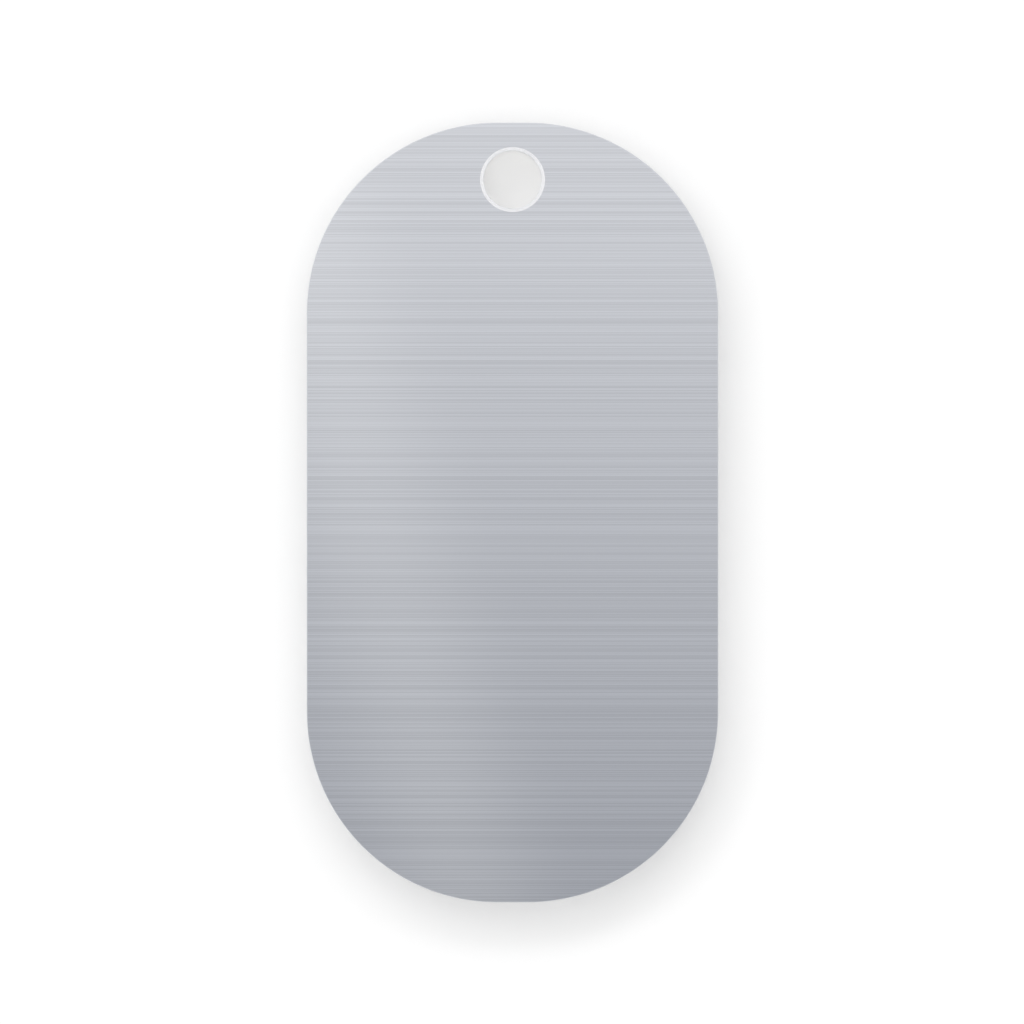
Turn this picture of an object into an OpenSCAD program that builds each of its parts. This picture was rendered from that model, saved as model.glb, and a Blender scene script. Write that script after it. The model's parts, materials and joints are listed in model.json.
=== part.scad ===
// Blank identification tag, cut from one piece of brushed metal sheet.
// It lies on its back: the front face looks up +Z, and the hanging hole is at the +Y end.
// The origin is the middle of the back face, and lengths are in millimetres.

/* [Outline] */
// Length of the tag from end to end
tag_length = 50.8; // [46:0.1:64]
// Width of the tag from side to side
tag_width = 26.8; // [25.6:0.1:38]
// Radius of each of the four corners
corner_radius = 12.4; // [3:0.1:12.6]

/* [Sheet] */
// Thickness of the sheet
sheet_thickness = 1.5; // [1:0.1:3]
// Radius of the tumbled edge between each face and the rim
edge_round = 0.05; // [0.03:0.01:0.4]

/* [Hanging hole] */
// Diameter of the hole
hole_diameter = 3.8; // [2.4:0.1:6]
// Width of the bright bevel at the hole's front mouth
front_bevel = 0.2; // [0.05:0.05:0.4]
// Width of the broken edge at the hole's back mouth
back_bevel = 0.05; // [0.03:0.01:0.4]
// Metal left between the hole and the end of the tag
end_web = 1.8; // [1:0.1:6]

/* [Hidden] */
$fn = 96;
// Centre of the corner arc in the +X +Y quarter
corner_x = tag_width / 2 - corner_radius;
corner_y = tag_length / 2 - corner_radius;
hole_radius = hole_diameter / 2;
hole_y = tag_length / 2 - end_web - hole_radius;
// How far the hole's cutter runs past each face
overrun = 0.5;

// Cross-section of the sheet, from a line inside the tag out to its rounded rim
module rim_section() {
    square([corner_radius - edge_round, sheet_thickness]);
    translate([0, edge_round]) square([corner_radius, sheet_thickness - 2 * edge_round]);
    for (height = [edge_round, sheet_thickness - edge_round])
        translate([corner_radius - edge_round, height]) circle(edge_round);
}

// Both long sides: the section drawn straight along Y
module long_sides() {
    for (side = [0, 1])
        mirror([side, 0, 0])
            translate([corner_x, corner_y, 0])
                rotate([90, 0, 0])
                    linear_extrude(2 * corner_y) rim_section();
}

// Both short ends: the section drawn straight along X
module short_ends() {
    for (end = [0, 1])
        mirror([0, end, 0])
            translate([-corner_x, corner_y, 0])
                rotate([90, 0, 90])
                    linear_extrude(2 * corner_x) rim_section();
}

// The four corners: the section turned a quarter circle about each corner's centre
module corners() {
    for (side = [0, 1], end = [0, 1])
        mirror([side, 0, 0])
            mirror([0, end, 0])
                translate([corner_x, corner_y, 0])
                    rotate_extrude(angle = 90) rim_section();
}

// The flat middle between the four corner centres
module middle() {
    translate([-corner_x, -corner_y, 0])
        cube([2 * corner_x, 2 * corner_y, sheet_thickness]);
}

// Cutter for the hanging hole: a straight bore that opens at 45 degrees towards both faces
module hole_cutter() {
    back_mouth = hole_radius + back_bevel + overrun;
    front_mouth = hole_radius + front_bevel + overrun;
    translate([0, hole_y, 0])
        rotate_extrude()
            polygon([
                [0, -overrun],
                [back_mouth, -overrun],
                [hole_radius, back_bevel],
                [hole_radius, sheet_thickness - front_bevel],
                [front_mouth, sheet_thickness + overrun],
                [0, sheet_thickness + overrun]
            ]);
}

// The whole tag
module tag_plate() {
    color([0.77, 0.78, 0.80])
        difference() {
            union() {
                middle();
                long_sides();
                short_ends();
                corners();
            }
            hole_cutter();
        }
}

tag_plate();
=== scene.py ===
import json
import math

import bmesh
import bpy
from mathutils import Matrix, Vector


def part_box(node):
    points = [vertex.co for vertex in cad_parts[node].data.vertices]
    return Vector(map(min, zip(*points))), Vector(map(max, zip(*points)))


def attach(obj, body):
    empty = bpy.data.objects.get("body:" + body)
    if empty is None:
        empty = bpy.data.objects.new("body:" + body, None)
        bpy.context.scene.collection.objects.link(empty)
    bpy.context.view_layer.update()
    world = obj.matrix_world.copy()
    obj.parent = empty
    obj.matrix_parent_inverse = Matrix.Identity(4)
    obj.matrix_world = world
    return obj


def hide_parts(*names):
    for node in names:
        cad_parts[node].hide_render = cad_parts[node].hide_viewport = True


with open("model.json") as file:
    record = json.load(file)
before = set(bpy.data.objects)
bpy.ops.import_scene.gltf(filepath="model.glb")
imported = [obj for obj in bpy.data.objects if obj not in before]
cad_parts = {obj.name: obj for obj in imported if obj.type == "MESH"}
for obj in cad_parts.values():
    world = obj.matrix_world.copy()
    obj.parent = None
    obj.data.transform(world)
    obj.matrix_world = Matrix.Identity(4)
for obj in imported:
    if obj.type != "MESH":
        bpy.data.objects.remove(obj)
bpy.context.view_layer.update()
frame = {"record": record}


# Sizes of the tag, in metres

MM = 0.001
TAG = "tag_plate"
tag_low, tag_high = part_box(TAG)
WIDTH, LENGTH, THICKNESS = tag_high - tag_low
CORNER_RADIUS = 12.4 * MM
EDGE_ROUND = 0.05 * MM  # tumbled edge between each face and the rim
hang_hole = next(mount for mount in frame["record"]["mounts"] if mount["name"] == "hang_hole")
HOLE_MIDDLE = Vector(hang_hole["pos_m"]).xy
HOLE_RADIUS = hang_hole["dims"]["r_mm"] * MM
WALL_LENGTH = hang_hole["dims"]["length_mm"] * MM
BACK_BEVEL = hang_hole["pos_m"][2] - WALL_LENGTH / 2
FRONT_BEVEL = THICKNESS - hang_hole["pos_m"][2] - WALL_LENGTH / 2
BEVEL_SOFTENING = 0.02 * MM  # the edges of the bevels aren't quite sharp


# Shape of the blank: closed rings that run round the outline, over the rim and through the hole

ARC_STEPS = 40  # columns round each corner
SIDE_STEPS = 14  # columns along each long side
END_STEPS = 2  # columns along each short end
EDGE_STEPS = 5  # rows over a tumbled edge
BEVEL_STEPS = 3  # rows over an edge of a bevel


def outline_columns():
    """For each column, anticlockwise from the middle of the top end: the point that the outline
    keeps its corner radius from, and the way outwards."""
    half_x = WIDTH / 2 - CORNER_RADIUS
    half_y = LENGTH / 2 - CORNER_RADIUS
    corners = [Vector((-half_x, half_y)), Vector((-half_x, -half_y)),
               Vector((half_x, -half_y)), Vector((half_x, half_y))]
    columns = []
    for quarter, corner in enumerate(corners):
        start = math.radians(90 * (quarter + 1))
        for step in range(ARC_STEPS):
            angle = start + math.radians(90) * step / ARC_STEPS
            columns.append((corner, Vector((math.cos(angle), math.sin(angle)))))
        following = corners[(quarter + 1) % 4]
        outwards = Vector((math.cos(start + math.radians(90)), math.sin(start + math.radians(90))))
        steps = (SIDE_STEPS, END_STEPS)[quarter % 2]
        for step in range(steps):
            columns.append((corner.lerp(following, step / steps), outwards))
    half_end = END_STEPS // 2
    return columns[-half_end:] + columns[:-half_end]


COLUMNS = outline_columns()


def rounded_path(corners, radius, steps):
    """Points and outward normals along straight lines whose inner corners are turned by arcs."""
    path = []
    for before, corner, after in zip(corners, corners[1:], corners[2:]):
        into = (corner - before).normalized()
        out = (after - corner).normalized()
        turn = into.angle(out)
        reach = radius * math.tan(turn / 2)
        side = 1 if into.x * out.y - into.y * out.x > 0 else -1
        to_middle = Vector((-into.y, into.x)) * side * radius
        arm = -to_middle
        middle = corner - into * reach + to_middle
        for step in range(steps + 1):
            turned = Matrix.Rotation(side * turn * step / steps, 2) @ arm
            path.append((middle + turned, turned.normalized()))
    return path


def outline_rings():
    """Rings from the front face over the rim to the back face, as points and normals."""
    section = rounded_path(
        [Vector((-CORNER_RADIUS, THICKNESS)), Vector((0, THICKNESS)),
         Vector((0, 0)), Vector((-CORNER_RADIUS, 0))],
        EDGE_ROUND, EDGE_STEPS)
    rings = []
    for place, normal in section:
        reach = CORNER_RADIUS + place.x
        rings.append([
            (Vector((*(anchor + outwards * reach), place.y)),
             Vector((*(outwards * normal.x), normal.y)))
            for anchor, outwards in COLUMNS])
    return rings


def hole_rings():
    """Rings from the back face up through the hole to the front face, as points and normals."""
    wall = HOLE_RADIUS
    far = HOLE_RADIUS * 2
    section = rounded_path(
        [Vector((far, 0)), Vector((wall + BACK_BEVEL, 0)), Vector((wall, BACK_BEVEL)),
         Vector((wall, THICKNESS - FRONT_BEVEL)), Vector((wall + FRONT_BEVEL, THICKNESS)),
         Vector((far, THICKNESS))],
        BEVEL_SOFTENING, BEVEL_STEPS)
    rings = []
    for place, normal in section:
        ring = []
        for column in range(len(COLUMNS)):
            angle = math.radians(90) + math.tau * column / len(COLUMNS)
            outwards = Vector((math.cos(angle), math.sin(angle)))
            ring.append((Vector((*(HOLE_MIDDLE + outwards * place.x), place.y)),
                         Vector((*(outwards * normal.x), normal.y))))
        rings.append(ring)
    return rings


# Flat layout of the blank in a unit square

LAYOUT_NAME = "OFBake"  # the name of the blank's own flat layout
LAYOUT_GAP = 0.4 * MM  # between its parts, and round them
RIM_STRIPS = 3
HOLE_ENLARGED = 3


def lengths_along(line):
    """How far along a line of points each of them lies."""
    lengths = [0.0]
    for (before, _), (after, _) in zip(line, line[1:]):
        lengths.append(lengths[-1] + (after - before).length)
    return lengths


def flat_layout(outer, inner):
    """Lays the blank out in a unit square: front and back side by side with their lines level, then the
    rim in upright strips, then the hole's wall and bevels as one enlarged upright strip. Returns a
    function that gives the four corners there of the face in a row and column."""
    rings = outer + inner
    middle_ring = outer[len(outer) // 2]
    rim_along = lengths_along(middle_ring + middle_ring[:1])
    rim_across = lengths_along([ring[0] for ring in outer])
    hole_across = lengths_along([ring[0] for ring in inner])
    strip_length = rim_along[-1] / RIM_STRIPS
    strip_pitch = rim_across[-1] + LAYOUT_GAP
    back_left = WIDTH + LAYOUT_GAP
    rim_left = back_left + WIDTH + LAYOUT_GAP
    hole_left = rim_left + RIM_STRIPS * strip_pitch
    hole_step = HOLE_ENLARGED * HOLE_RADIUS * math.tau / len(COLUMNS)
    width = hole_left + HOLE_ENLARGED * hole_across[-1] + LAYOUT_GAP
    height = LENGTH + LAYOUT_GAP

    def corner(row, column, ring, turn):
        if row < len(outer) - 1:
            strip = int(rim_along[column] / strip_length)
            return rim_left + strip * strip_pitch + rim_across[ring], rim_along[turn] - strip * strip_length
        if len(outer) <= row < len(rings) - 1:
            return hole_left + HOLE_ENLARGED * hole_across[ring - len(outer)], hole_step * turn
        place = rings[ring % len(rings)][turn % len(COLUMNS)][0]
        if row < len(outer):
            return back_left + WIDTH / 2 - place.x, LENGTH / 2 + place.y
        return WIDTH / 2 + place.x, LENGTH / 2 + place.y

    def corners(row, column):
        for ring, turn in ((row, column), (row + 1, column), (row + 1, column + 1), (row, column + 1)):
            across, up = corner(row, column, ring, turn)
            yield (across + LAYOUT_GAP / 2) / width, (up + LAYOUT_GAP / 2) / height

    return corners


BRUSHED, RIM, BEVEL, WALL = range(4)  # which finish a face of the mesh takes


def build_blank():
    """The whole blank as one closed mesh."""
    outer, inner = outline_rings(), hole_rings()
    rings = outer + inner
    flat_corners = flat_layout(outer, inner)
    wall_rows = 2 * (BEVEL_STEPS + 1)
    bevel_rows = len(inner) - 1 - wall_rows
    slots = [RIM] * (len(outer) - 1) + [BRUSHED] + [WALL] * wall_rows + [BEVEL] * bevel_rows + [BRUSHED]
    mesh = bpy.data.meshes.new("tag_blank")
    shape = bmesh.new()
    layout = shape.loops.layers.uv.new(LAYOUT_NAME)
    corners = [[shape.verts.new(place) for place, _ in ring] for ring in rings]
    for row, slot in enumerate(slots):
        here, below = corners[row], corners[(row + 1) % len(corners)]
        for column in range(len(COLUMNS)):
            beside = (column + 1) % len(COLUMNS)
            face = shape.faces.new((here[column], below[column], below[beside], here[beside]))
            face.material_index = slot
            face.smooth = True
            for loop, spot in zip(face.loops, flat_corners(row, column)):
                loop[layout].uv = spot
    shape.to_mesh(mesh)
    shape.free()
    mesh.normals_split_custom_set_from_vertices([normal for ring in rings for _, normal in ring])
    blank = bpy.data.objects.new("tag_blank", mesh)
    bpy.context.scene.collection.objects.link(blank)
    return blank


# Shader nodes, written as plain expressions

class Signal:
    """The output of a shader node, which plain arithmetic works on."""

    def __init__(self, bench, socket):
        self.bench = bench
        self.socket = socket

    def __add__(self, other):
        return self.bench.math("ADD", self, other)

    __radd__ = __add__

    def __sub__(self, other):
        return self.bench.math("SUBTRACT", self, other)

    def __rsub__(self, other):
        return self.bench.math("SUBTRACT", other, self)

    def __mul__(self, other):
        return self.bench.math("MULTIPLY", self, other)

    __rmul__ = __mul__

    def __truediv__(self, other):
        return self.bench.math("DIVIDE", self, other)


class Bench:
    """The place where the nodes of one material, or of the world, are put together."""

    def __init__(self, tree):
        self.tree = tree
        tree.nodes.clear()

    def node(self, kind, settings=None, sockets=None, output=0):
        """Adds a node: its settings first, then the values or links of its sockets."""
        made = self.tree.nodes.new(kind)
        for name, value in (settings or {}).items():
            setattr(made, name, value)
        for name, value in (sockets or {}).items():
            if isinstance(value, Signal):
                self.tree.links.new(value.socket, made.inputs[name])
            else:
                made.inputs[name].default_value = value
        return Signal(self, made.outputs[output]) if made.outputs else made

    def math(self, operation, *terms):
        return self.node("ShaderNodeMath", {"operation": operation}, dict(enumerate(terms)))

    def scaled(self, colour, share):
        """A colour or vector times a value."""
        return self.node("ShaderNodeVectorMath", {"operation": "SCALE"}, {0: colour, "Scale": share})

    def mixed(self, share, first, second):
        """A blend of two colours."""
        return self.node("ShaderNodeMix", {"data_type": "RGBA"}, {0: share, 6: first, 7: second}, 2)

    def ramp(self, value, stops):
        """A colour ramp through stops of a position and a colour."""
        signal = self.node("ShaderNodeValToRGB", None, {0: value})
        elements = signal.socket.node.color_ramp.elements
        while len(elements) < len(stops):
            elements.new(1)
        for element, (position, colour) in zip(elements, stops):
            element.position = position
            element.color = (*colour, 1)
        return signal

    def smooth(self, value, low, high):
        """0 below low, 1 above high and an even curve between them."""
        return self.node("ShaderNodeMapRange", {"interpolation_type": "SMOOTHSTEP"},
                         {"Value": value, "From Min": low, "From Max": high})

    def reached_floor(self):
        """1 for light that falls on the floor, straight or by way of the metal, and 0 for what the
        metal shows."""
        bounces = self.node("ShaderNodeLightPath", output="Diffuse Depth")
        return self.math("MINIMUM", bounces, 1)

    def parts(self, vector):
        """The x, y and z of a vector."""
        return [self.node("ShaderNodeSeparateXYZ", None, {0: vector}, axis) for axis in range(3)]

    def place(self):
        """The x, y and z of the point being shaded, in metres."""
        return self.parts(self.node("ShaderNodeTexCoord", output="Object"))


def new_material(name):
    material = bpy.data.materials.new(name)
    material.use_nodes = True
    return material, Bench(material.node_tree)


def finish_metal(bench, **sockets):
    """Ends a metal's nodes in its shader. A socket's name is written with _ for its spaces."""
    values = {name.replace("_", " "): value for name, value in sockets.items()}
    shader = bench.node("ShaderNodeBsdfPrincipled", None, {"Metallic": 1.0, **values})
    bench.node("ShaderNodeOutputMaterial", None, {"Surface": shader})


# Finishes

STEEL = (0.590, 0.605, 0.640)
FINE_LINE = 0.06516 * MM  # width of a single brushed line
LINE_START = 0.033 * MM  # where one of them begins
COARSE_LINE = 0.55 * MM  # width of the bands that lines gather in
GROOVE_DEPTH = 0.002 * MM
FINE_STRENGTH = 0.155
COARSE_STRENGTH = 0.07
OTHER_FACE = 5000  # how far along the noise the front's lines are from the back's
BRUSHED_TONE = 0.983
BRUSHED_ROUGHNESS = 0.30


def brushed_steel():
    """Straight lines brushed across the width, the same all the way across."""
    material, bench = new_material("brushed_steel")
    _, y, z = bench.place()
    other_face = bench.math("ROUND", z / THICKNESS) * OTHER_FACE
    fine = bench.node("ShaderNodeTexWhiteNoise", {"noise_dimensions": "1D"},
                      {"W": bench.math("FLOOR", (y - LINE_START) / FINE_LINE) + other_face})
    coarse = bench.node("ShaderNodeTexNoise", {"noise_dimensions": "1D"},
                        {"W": y / COARSE_LINE + other_face, "Scale": 1.0, "Detail": 1.0})
    lines = (fine - 0.5) * FINE_STRENGTH + (coarse - 0.5) * COARSE_STRENGTH
    grooves = bench.node("ShaderNodeTexNoise", {"noise_dimensions": "1D"},
                         {"W": y / FINE_LINE + other_face, "Scale": 1.0, "Detail": 2.0})
    relief = bench.node("ShaderNodeBump", None,
                        {"Strength": 1.0, "Distance": GROOVE_DEPTH, "Height": grooves})
    finish_metal(bench, Base_Color=bench.scaled(STEEL, lines + BRUSHED_TONE),
                 Roughness=BRUSHED_ROUGHNESS - lines * 0.15, Normal=relief)
    return material


SHEAR_MARK = MM / 6  # width of a mark on the rim
SHEAR_STRETCH = 20  # how much longer it is through the thickness
POLISHED_EDGE = EDGE_ROUND * 5  # how far from the faces tumbling has worn the marks
RIM_TONE = 0.99
RIM_ROUGHNESS = 0.2


def tumbled_rim():
    """Satin sheared edge, with short marks that run through the thickness and fade at both edges, which
    tumbling has polished."""
    material, bench = new_material("tumbled_rim")
    x, y, z = bench.place()
    squashed = bench.node("ShaderNodeCombineXYZ", None, {0: x, 1: y, 2: z / SHEAR_STRETCH})
    sheared = bench.node("ShaderNodeTexNoise", None,
                         {"Vector": bench.scaled(squashed, 1 / SHEAR_MARK), "Scale": 1.0, "Detail": 3.0})
    from_edge = bench.math("MINIMUM", z, THICKNESS - z)
    unpolished = bench.smooth(from_edge, EDGE_ROUND, POLISHED_EDGE)
    marks = (sheared - 0.5) * unpolished + 0.5
    relief = bench.node("ShaderNodeBump", None,
                        {"Strength": 0.6, "Distance": GROOVE_DEPTH, "Height": marks})
    finish_metal(bench, Base_Color=bench.scaled(STEEL, marks * 0.1 - unpolished * 0.04 + RIM_TONE),
                 Roughness=marks * 0.15 + RIM_ROUGHNESS, Normal=relief)
    return material


CUTTER_RING = 0.03 * MM  # width of a ring left by the cutter
CUT_TONE = 0.98
CUT_ROUGHNESS = 0.2


def bright_cut(name, colour):
    """Bright-cut metal in the hole, with painted shade that darkens it a little towards the brushed face,
    and faint rings left by the cutter."""
    material, bench = new_material(name)
    x, y, z = bench.place()
    from_middle = bench.math("SQRT", x * x + (y - HOLE_MIDDLE.y) * (y - HOLE_MIDDLE.y))
    rings = bench.node("ShaderNodeTexNoise", {"noise_dimensions": "1D"},
                       {"W": (from_middle + z) / CUTTER_RING, "Scale": 1.0})
    # painted shade: the bevel's colour darkens by 5 % from the hole's wall out to the brushed face
    painted_shade_outwards = bench.smooth(from_middle, HOLE_RADIUS, HOLE_RADIUS + FRONT_BEVEL)
    finish_metal(bench, Base_Color=bench.scaled(colour, rings * 0.04 + CUT_TONE - painted_shade_outwards * 0.05),
                 Roughness=rings * 0.1 + CUT_ROUGHNESS)
    return material


FINISHES = {
    BRUSHED: brushed_steel(),
    RIM: tumbled_rim(),
    BEVEL: bright_cut("bright_bevel", (0.992, 0.992, 1.0)),
    WALL: bright_cut("hole_wall", (0.873, 0.885, 0.912)),
}


# The blank in place of the plain solid

blank = build_blank()
for slot in sorted(FINISHES):
    blank.data.materials.append(FINISHES[slot])
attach(blank, "root")
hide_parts(TAG)


# Studio

scene = bpy.context.scene
scene.view_settings.view_transform = "Standard"

FRAME_WIDTH = 66.727 * MM  # what the picture's width covers at the front face
TAG_IN_FRAME = Vector((0.035, -0.033)) * MM  # where the tag's middle lies from the picture's
LENS = 800


def add_camera():
    data = bpy.data.cameras.new("camera")
    data.lens = LENS
    camera = bpy.data.objects.new("camera", data)
    distance = FRAME_WIDTH * LENS / data.sensor_width
    camera.location = (-TAG_IN_FRAME.x, -TAG_IN_FRAME.y, THICKNESS + distance)
    data.clip_start = distance / 100
    data.clip_end = distance * 10
    scene.collection.objects.link(camera)
    scene.camera = camera
    return distance


CAMERA_DISTANCE = add_camera()


def flat_sheet(name, height, span, material):
    """A level square of the studio, which isn't part of the object."""
    mesh = bpy.data.meshes.new(name)
    half = span / 2
    mesh.from_pydata([(-half, -half, 0), (half, -half, 0), (half, half, 0), (-half, half, 0)],
                     [], [(0, 1, 2, 3)])
    mesh.materials.append(material)
    sheet = bpy.data.objects.new(name, mesh)
    sheet.location = (0, 0, height)
    scene.collection.objects.link(sheet)
    return sheet


FLOOR_WHITE = 0.92
FLOOR_SPAN = 6
FLOOR_GAP = 0.01 * MM  # keeps the floor apart from the back face that lies on it


def white_floor():
    """Matt white. From underneath it is clear, also to what the metal then mirrors, so the back shows."""
    material, bench = new_material("white_floor")
    from_below = bench.node("ShaderNodeNewGeometry", output="Backfacing")
    already_through = bench.node("ShaderNodeLightPath", output="Transparent Depth")
    clear_here = bench.math("MAXIMUM", from_below, bench.math("MINIMUM", already_through, 1))
    matt = bench.node("ShaderNodeBsdfDiffuse", None, {"Color": (FLOOR_WHITE,) * 3 + (1,)})
    clear = bench.node("ShaderNodeBsdfTransparent")
    shader = bench.node("ShaderNodeMixShader", None, {0: clear_here, 1: matt, 2: clear})
    bench.node("ShaderNodeOutputMaterial", None, {"Surface": shader})
    return material


flat_sheet("floor", -FLOOR_GAP, FLOOR_SPAN, white_floor())


TENT_ON_FLOOR = 0.945
TENT_LEAN = 0.4  # how much more of it comes from the tag's top end
THROWN_ON_FLOOR = 1.16
THROWN_FROM_ABOVE = 0.614
THROWN_LEAN = -0.5
THROWN_LEAN_RIGHT = -0.1
THROWN_TINT = (1.028, 1.003, 0.948, 1)  # makes up for the metal's own tint
TENT_IN_METAL = 1.1


def set_sky():
    """A white tent. It shines on the floor more from the tag's top end. What the metal throws there
    comes more from above and from the bottom end, and the metal shows the camera an even tent."""
    scene.world = scene.world or bpy.data.worlds.new("tent")
    scene.world.use_nodes = True
    bench = Bench(scene.world.node_tree)
    direction = bench.node("ShaderNodeTexCoord", output="Generated")
    across, along, up = bench.parts(direction)
    from_above = bench.math("MAXIMUM", up, 0)
    thrown = bench.node("ShaderNodeLightPath", output="Is Glossy Ray")
    on_floor = bench.reached_floor()
    straight_light = along * TENT_LEAN + TENT_ON_FLOOR
    thrown_light = ((from_above * THROWN_FROM_ABOVE + THROWN_ON_FLOOR)
                    * (along * THROWN_LEAN + across * THROWN_LEAN_RIGHT + 1))
    lit = (1 - thrown) * straight_light + thrown * thrown_light
    tint = bench.mixed(thrown * on_floor, (1, 1, 1, 1), THROWN_TINT)
    glow = bench.node("ShaderNodeBackground", None,
                      {"Color": tint, "Strength": lit * on_floor + (1 - on_floor) * TENT_IN_METAL})
    bench.node("ShaderNodeOutputWorld", None, {"Surface": glow})


set_sky()


LAMP_ELEVATION = math.radians(25)
LAMP_HEIGHT = 0.2


def soft_lamp(name, azimuth, power, width):
    """A low soft box, a metre away, that faces the tag and that the metal doesn't mirror."""
    data = bpy.data.lights.new(name, "AREA")
    data.shape = "RECTANGLE"
    data.size, data.size_y = width, LAMP_HEIGHT
    data.energy = power
    lamp = bpy.data.objects.new(name, data)
    turn = math.radians(azimuth)
    level = Vector((math.cos(turn), math.sin(turn), 0))
    away = level * math.cos(LAMP_ELEVATION) + Vector((0, 0, math.sin(LAMP_ELEVATION)))
    lamp.location = away
    lamp.rotation_mode = "QUATERNION"
    lamp.rotation_quaternion = away.to_track_quat("Z", "Y")
    lamp.visible_glossy = False
    scene.collection.objects.link(lamp)


soft_lamp("top_box", azimuth=90, power=2.82, width=1.2)
soft_lamp("corner_box", azimuth=135, power=1.4, width=0.6)
soft_lamp("left_box", azimuth=180, power=0.54, width=1.2)


CARD_HEIGHT = 12 * MM
CARD_SPAN = 200 * MM
CARD_GRADIENT = 100 * MM  # how far its gradient runs from top to bottom
CARD_FADE = (30 * MM, 60 * MM)  # how far from the middle it begins to fade, and is gone
CARD_TONES = [  # how far down the gradient, and the colour there
    (0.0, (1.285, 1.285, 1.285)),
    (0.25, (1.014, 1.012, 1.014)),
    (0.5, (0.743, 0.750, 0.769)),
    (0.75, (0.520, 0.532, 0.562)),
    (1.0, (0.296, 0.304, 0.323)),
]
STRIP_SLANT = math.radians(13.5)
STRIP_FROM_MIDDLE = 9.26 * MM
STRIP_HALF_WIDTH = 8.3 * MM
STRIP_TINT = (1.0, 0.966, 0.86)
STRIP_GLOW = 0.12
STRIP_DIMMING = 0.9  # how much dimmer the strip is for each metre towards the top end


def gradient_card():
    """A glowing card close over the tag, which only the metal mirrors: bright at the top, dim at the
    bottom, with a slanting strip of light on the left."""
    material, bench = new_material("gradient_card")
    x, y, _ = bench.place()
    spread = 1 + (CARD_HEIGHT - THICKNESS) / CAMERA_DISTANCE
    x, y = x / spread, y / spread
    plain = bench.ramp(0.5 - y / CARD_GRADIENT, CARD_TONES)
    across_strip = x * math.cos(STRIP_SLANT) + y * math.sin(STRIP_SLANT)
    from_strip = bench.math("ABSOLUTE", across_strip + STRIP_FROM_MIDDLE)
    strip = (1 - bench.smooth(from_strip, 0.0, STRIP_HALF_WIDTH)) * (STRIP_GLOW - y * STRIP_DIMMING)
    glow = bench.node("ShaderNodeVectorMath", {"operation": "ADD"},
                      {0: plain, 1: bench.scaled(STRIP_TINT, strip)})
    edge = bench.math("MAXIMUM", bench.math("ABSOLUTE", x), bench.math("ABSOLUTE", y))
    unseen = bench.math("MAXIMUM", bench.smooth(edge, *CARD_FADE), bench.reached_floor())
    shown = bench.node("ShaderNodeEmission", None, {"Color": glow})
    clear = bench.node("ShaderNodeBsdfTransparent")
    shader = bench.node("ShaderNodeMixShader", None, {0: unseen, 1: shown, 2: clear})
    bench.node("ShaderNodeOutputMaterial", None, {"Surface": shader})
    material.cycles.emission_sampling = "NONE"
    return material


card = flat_sheet("gradient_card", CARD_HEIGHT, CARD_SPAN, gradient_card())
card.visible_camera = card.visible_diffuse = card.visible_shadow = False
card.visible_transmission = card.visible_volume_scatter = False
